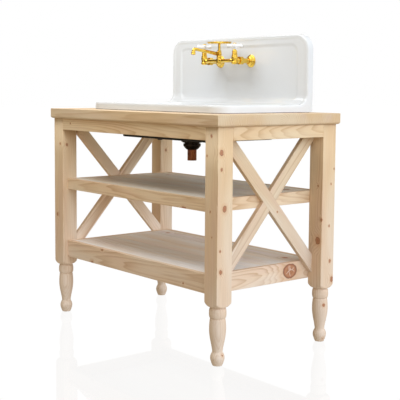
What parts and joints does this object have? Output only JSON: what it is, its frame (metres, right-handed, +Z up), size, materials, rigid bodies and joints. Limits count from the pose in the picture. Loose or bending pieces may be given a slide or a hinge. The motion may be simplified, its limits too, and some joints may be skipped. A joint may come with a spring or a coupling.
{
  "type": "bathroom vanity cabinet",
  "caption": "Open pine wash stand with turned feet, shelves and X-braced ends, carrying a white high-backed sink with a brass bridge faucet and drain.",
  "frame": {"origin": "centre of the bounding box on the floor", "axes": "+X to the right along the front, +Y to the wall, +Z up"},
  "size_m": [1.127, 0.623, 1.21],
  "materials": {
    "pine_legs": "bare sanded pine with small knots",
    "pine_boards": "bare sanded pine boards, slightly greyed",
    "pine_top": "bare sanded pine slab",
    "pine_rails": "bare sanded pine with cathedral grain and knots",
    "pine_braces": "bare sanded pine laths",
    "enamelled_iron": "glossy white vitreous enamel above, black below",
    "sealant": "dark matte sealant bead",
    "black_rubber": "matte rubber",
    "dark_bronze": "oil-rubbed dark bronze, semi-gloss",
    "antique_copper": "polished dark copper tube",
    "basket_steel": "brushed stainless steel",
    "polished_brass": "polished unlacquered brass",
    "porcelain": "white glazed porcelain",
    "screw_steel": "zinc-plated"
  },
  "bodies": {
    "stand": {"corner_blocks": "pine_rails", "countertop": "pine_top", "coupling_nut": "dark_bronze", "dish_post": "polished_brass", "drain_body": "dark_bronze", "drain_locknut": "dark_bronze", "drain_washer": "black_rubber", "faucet_body": "polished_brass", "front_apron": "pine_rails", "front_left_leg": "pine_legs", "front_right_leg": "pine_legs", "left_apron": "pine_rails", "left_back_nut": "polished_brass", "left_bonnet": "polished_brass", "left_lapped_brace": "pine_braces", "left_main_brace": "pine_braces", "left_supply_nipple": "polished_brass", "left_union_nut": "polished_brass", "left_wall_flange": "polished_brass", "lower_front_rail": "pine_rails", "lower_left_rail": "pine_rails", "lower_rear_rail": "pine_rails", "lower_right_rail": "pine_rails", "lower_shelf_boards": "pine_boards", "lower_shelf_cleats": "pine_rails", "rear_apron": "pine_rails", "rear_left_leg": "pine_legs", "rear_right_leg": "pine_legs", "right_apron": "pine_rails", "right_back_nut": "polished_brass", "right_bonnet": "polished_brass", "right_lapped_brace": "pine_braces", "right_main_brace": "pine_braces", "right_supply_nipple": "polished_brass", "right_union_nut": "polished_brass", "right_wall_flange": "polished_brass", "rim_sealant": "sealant", "shelf_screws": "screw_steel", "sink": "enamelled_iron", "soap_dish": "polished_brass", "tailpiece": "antique_copper", "tailpiece_washer": "black_rubber", "top_screws": "screw_steel", "upper_front_rail": "pine_rails", "upper_left_rail": "pine_rails", "upper_rear_rail": "pine_rails", "upper_right_rail": "pine_rails", "upper_shelf_boards": "pine_boards", "upper_shelf_cleats": "pine_rails"},
    "left_valve": {"left_stem": "polished_brass", "left_handle": "porcelain", "left_handle_cap": "polished_brass"},
    "right_valve": {"right_stem": "polished_brass", "right_handle": "porcelain", "right_handle_cap": "polished_brass"},
    "spout_arm": {"spout": "polished_brass", "outlet_ring": "polished_brass"},
    "basket": {"strainer_basket": "basket_steel", "basket_knob": "basket_steel", "basket_stopper": "black_rubber"}
  },
  "joints": [
    {"name": "left_handle_turn", "type": "hinge", "parent": "stand", "child": "left_valve", "pos_m": [-0.098, 0.174, 1.168], "axis": [0, 0, 1], "range_deg": [0, 90]},
    {"name": "right_handle_turn", "type": "hinge", "parent": "stand", "child": "right_valve", "pos_m": [0.098, 0.174, 1.168], "axis": [0, 0, 1], "range_deg": [-90, 0]},
    {"name": "spout_swing", "type": "hinge", "parent": "stand", "child": "spout_arm", "pos_m": [0, 0.174, 1.134], "axis": [0, 0, 1], "range_deg": [-60, 60]},
    {"name": "basket_lift", "type": "slide", "parent": "stand", "child": "basket", "axis": [0, 0, 1], "range_m": [0, 0.06]}
  ]
}
